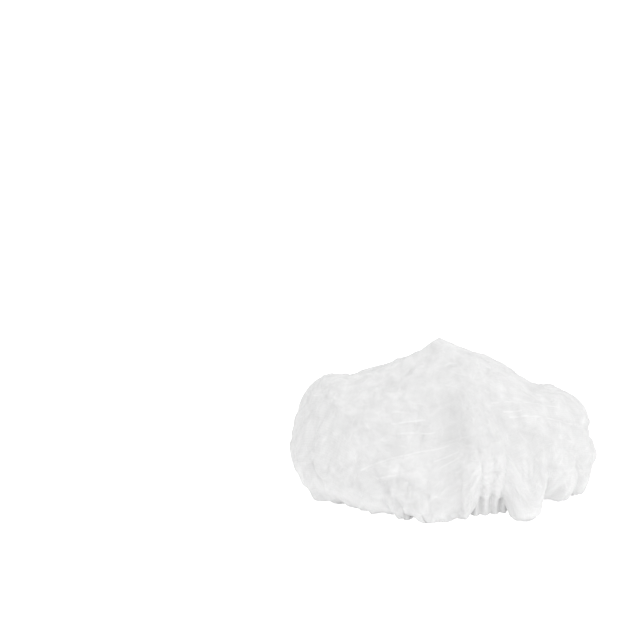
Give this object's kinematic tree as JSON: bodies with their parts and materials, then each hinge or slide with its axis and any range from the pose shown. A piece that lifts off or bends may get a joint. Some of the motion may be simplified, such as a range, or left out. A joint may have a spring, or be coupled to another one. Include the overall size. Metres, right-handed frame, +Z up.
{
  "type": "nurse cap",
  "caption": "Puffed bouffant nurse cap of thin white nonwoven cloth, gathered round an elastic band in its turned-up hem, lying mouth down.",
  "frame": {"origin": "on the surface that the cap lies on, below the middle of its box", "axes": "+X to the right as seen from the front, along the cap's longest side; +Y to the back; +Z up, along its shortest side"},
  "size_m": [0.2594, 0.2012, 0.125],
  "materials": {
    "nonwoven_cloth": "thin matt spunbond nonwoven, slightly see-through",
    "elastic": "matt covered rubber strip"
  },
  "bodies": {
    "root": {"crown": "nonwoven_cloth", "elastic_band": "elastic"}
  },
  "joints": []
}
